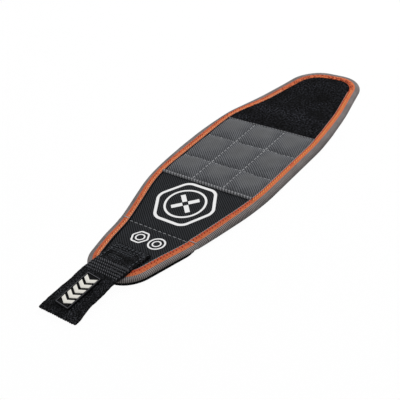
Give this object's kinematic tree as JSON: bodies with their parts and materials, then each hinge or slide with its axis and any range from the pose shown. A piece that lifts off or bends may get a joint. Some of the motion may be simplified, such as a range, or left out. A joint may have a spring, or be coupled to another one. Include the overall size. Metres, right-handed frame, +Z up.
{
  "type": "magnetic wristband",
  "caption": "Padded magnetic wristband laid flat: quilted magnet pad, bound edges, hook pad, loop-pile end and a webbing pull tab. Wraps round the wrist and holds screws and bits.",
  "frame": {"origin": "on the wrist side of the lining, under the middle of the magnet pad", "axes": "+X along the band towards the far round end with the loop pile, +Y across the band, +Z up out of the magnet pad"},
  "size_m": [0.3429, 0.0996, 0.0093],
  "materials": {
    "webbing": "black woven webbing with transverse ribs",
    "label_rubber": "matt black moulded rubber with pale raised bars",
    "hook": "black hook tape",
    "lining_mesh": "dark grey spacer mesh",
    "foam": "dark foam padding",
    "black_nylon": "black woven nylon with a fine diagonal weave",
    "grey_quilt": "grey woven nylon, quilted",
    "loop_pile": "black brushed loop pile",
    "binding_tape": "grey ribbed grosgrain binding",
    "trim_tape": "orange woven tape, stitched",
    "magnet": "nickel-plated magnet"
  },
  "bodies": {
    "row_middle": {"row_middle_lining": "lining_mesh", "row_middle_binding_left": "binding_tape", "row_middle_trim_left": "trim_tape", "row_middle_binding_right": "binding_tape", "row_middle_trim_right": "trim_tape", "row_middle_foam": "foam", "row_middle_panel": "grey_quilt", "row_middle_magnet_left": "magnet", "row_middle_magnet_centre": "magnet", "row_middle_magnet_right": "magnet"},
    "row_front": {"row_front_lining": "lining_mesh", "row_front_binding_left": "binding_tape", "row_front_trim_left": "trim_tape", "row_front_binding_right": "binding_tape", "row_front_trim_right": "trim_tape", "row_front_foam": "foam", "row_front_panel": "grey_quilt", "row_front_magnet_left": "magnet", "row_front_magnet_centre": "magnet", "row_front_magnet_right": "magnet"},
    "badge": {"badge_lining": "lining_mesh", "badge_binding_left": "binding_tape", "badge_trim_left": "trim_tape", "badge_binding_right": "binding_tape", "badge_trim_right": "trim_tape", "badge_foam": "foam", "badge_panel": "black_nylon"},
    "front": {"hook_pad": "hook", "front_lining": "lining_mesh", "front_foam": "foam", "front_panel": "black_nylon", "front_binding": "binding_tape", "front_trim": "trim_tape", "tab_root": "webbing"},
    "tab": {"tab_grip": "webbing", "tab_label": "label_rubber"},
    "row_rear": {"row_rear_lining": "lining_mesh", "row_rear_binding_left": "binding_tape", "row_rear_trim_left": "trim_tape", "row_rear_binding_right": "binding_tape", "row_rear_trim_right": "trim_tape", "row_rear_foam": "foam", "row_rear_panel": "grey_quilt", "row_rear_magnet_left": "magnet", "row_rear_magnet_centre": "magnet", "row_rear_magnet_right": "magnet"},
    "loop_inner": {"loop_inner_lining": "lining_mesh", "loop_inner_binding_left": "binding_tape", "loop_inner_trim_left": "trim_tape", "loop_inner_binding_right": "binding_tape", "loop_inner_trim_right": "trim_tape", "loop_inner_foam": "foam", "loop_inner_panel": "loop_pile"},
    "loop_tip": {"loop_tip_lining": "lining_mesh", "loop_tip_foam": "foam", "loop_tip_panel": "loop_pile", "loop_tip_binding": "binding_tape", "loop_tip_trim": "trim_tape"}
  },
  "joints": [
    {"name": "tab_side_wrap", "type": "hinge", "parent": "row_middle", "child": "row_front", "pos_m": [-0.016, 0, 0], "axis": [0, -1, 0], "range_deg": [0, 40]},
    {"name": "badge_fold", "type": "hinge", "parent": "row_front", "child": "badge", "pos_m": [-0.043, 0, 0], "axis": [0, -1, 0], "range_deg": [0, 58]},
    {"name": "front_fold", "type": "hinge", "parent": "badge", "child": "front", "pos_m": [-0.1005, 0, 0], "axis": [0, -1, 0], "range_deg": [0, 82]},
    {"name": "loop_side_wrap", "type": "hinge", "parent": "row_middle", "child": "row_rear", "pos_m": [0.016, 0, 0], "axis": [0, 1, 0], "range_deg": [0, 42]},
    {"name": "loop_fold", "type": "hinge", "parent": "row_rear", "child": "loop_inner", "pos_m": [0.0445, 0, 0], "axis": [0, 1, 0], "range_deg": [0, 57]},
    {"name": "loop_tip_fold", "type": "hinge", "parent": "loop_inner", "child": "loop_tip", "pos_m": [0.0945, 0, 0], "axis": [0, 1, 0], "range_deg": [0, 81]},
    {"name": "tab_flex", "type": "hinge", "parent": "front", "child": "tab", "pos_m": [-0.1556, 0, 0.008], "axis": [0, 1, 0], "range_deg": [-30, 150]}
  ],
  "couplings": [
    {"joint": "badge_fold", "follows": "tab_side_wrap", "ratio": 1.45},
    {"joint": "front_fold", "follows": "tab_side_wrap", "ratio": 2.05},
    {"joint": "loop_fold", "follows": "loop_side_wrap", "ratio": 1.3571},
    {"joint": "loop_tip_fold", "follows": "loop_side_wrap", "ratio": 1.9286}
  ]
}
